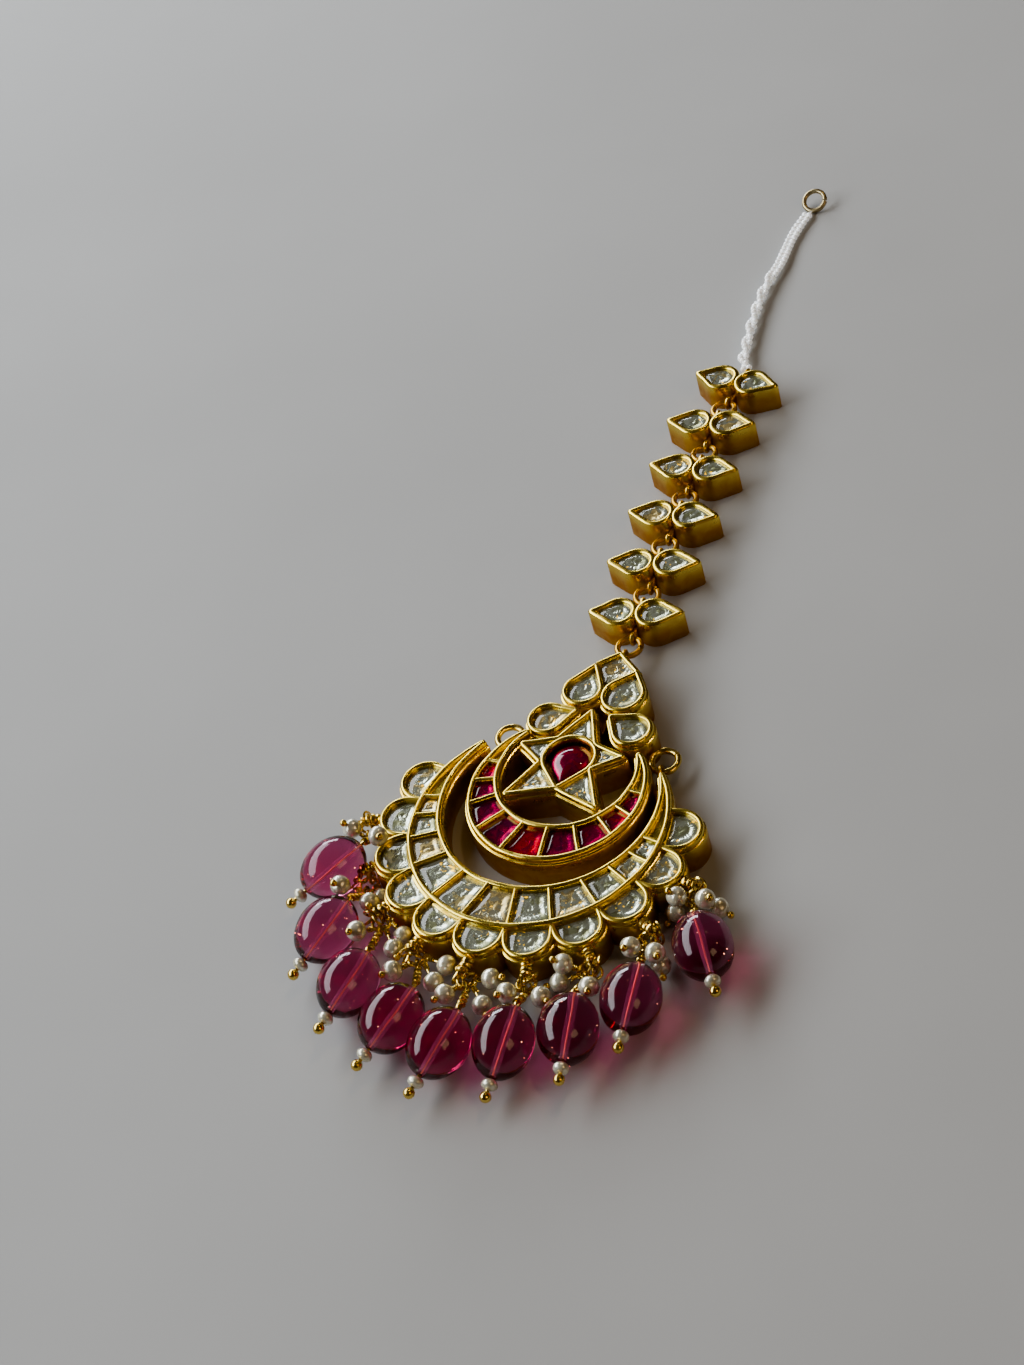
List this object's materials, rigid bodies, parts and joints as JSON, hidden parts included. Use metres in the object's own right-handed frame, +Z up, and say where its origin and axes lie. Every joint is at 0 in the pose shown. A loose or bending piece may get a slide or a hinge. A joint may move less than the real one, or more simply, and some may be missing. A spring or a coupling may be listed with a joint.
{
  "type": "maang tikka",
  "caption": "Crescent-and-star maang tikka with foil-backed stones, glass bead drops with pearl clusters, a chain of leaf settings, pearl strands and an end ring.",
  "frame": {"origin": "on the surface it lies on, below the middle of its outline", "axes": "+Z up from the flat backs, +Y from the bead drops towards the end ring"},
  "size_m": [0.0668, 0.1976, 0.0085],
  "materials": {
    "gold": "satin gold plate, polished rims",
    "clear_glass": "clear glass over crinkled silver foil",
    "ruby_glass": "polished ruby-red glass",
    "plum_glass": "polished translucent plum glass",
    "pearl": "pearly lustre"
  },
  "bodies": {
    "root": {"centre_stone": "ruby_glass", "chain_ring_1": "gold", "chain_ring_2": "gold", "chain_ring_3": "gold", "chain_ring_4": "gold", "chain_ring_5": "gold", "chain_ring_6": "gold", "crescent_stones": "clear_glass", "drop_bead_1": "plum_glass", "drop_bead_2": "plum_glass", "drop_bead_3": "plum_glass", "drop_bead_4": "plum_glass", "drop_bead_5": "plum_glass", "drop_bead_6": "plum_glass", "drop_bead_7": "plum_glass", "drop_bead_8": "plum_glass", "drop_bead_9": "plum_glass", "drop_pearls_1": "pearl", "drop_pearls_2": "pearl", "drop_pearls_3": "pearl", "drop_pearls_4": "pearl", "drop_pearls_5": "pearl", "drop_pearls_6": "pearl", "drop_pearls_7": "pearl", "drop_pearls_8": "pearl", "drop_pearls_9": "pearl", "drop_pin_1": "gold", "drop_pin_2": "gold", "drop_pin_3": "gold", "drop_pin_4": "gold", "drop_pin_5": "gold", "drop_pin_6": "gold", "drop_pin_7": "gold", "drop_pin_8": "gold", "drop_pin_9": "gold", "drop_ring_1": "gold", "drop_ring_2": "gold", "drop_ring_3": "gold", "drop_ring_4": "gold", "drop_ring_5": "gold", "drop_ring_6": "gold", "drop_ring_7": "gold", "drop_ring_8": "gold", "drop_ring_9": "gold", "end_ring": "gold", "flank_stones": "clear_glass", "inner_crescent_stones": "ruby_glass", "leaf_setting_1": "gold", "leaf_setting_2": "gold", "leaf_setting_3": "gold", "leaf_setting_4": "gold", "leaf_setting_5": "gold", "leaf_setting_6": "gold", "leaf_stones": "clear_glass", "pearl_strands": "pearl", "pendant_frame": "gold", "petal_stones": "clear_glass", "side_rings": "gold", "star_stones": "clear_glass", "top_stones": "clear_glass"}
  },
  "joints": []
}
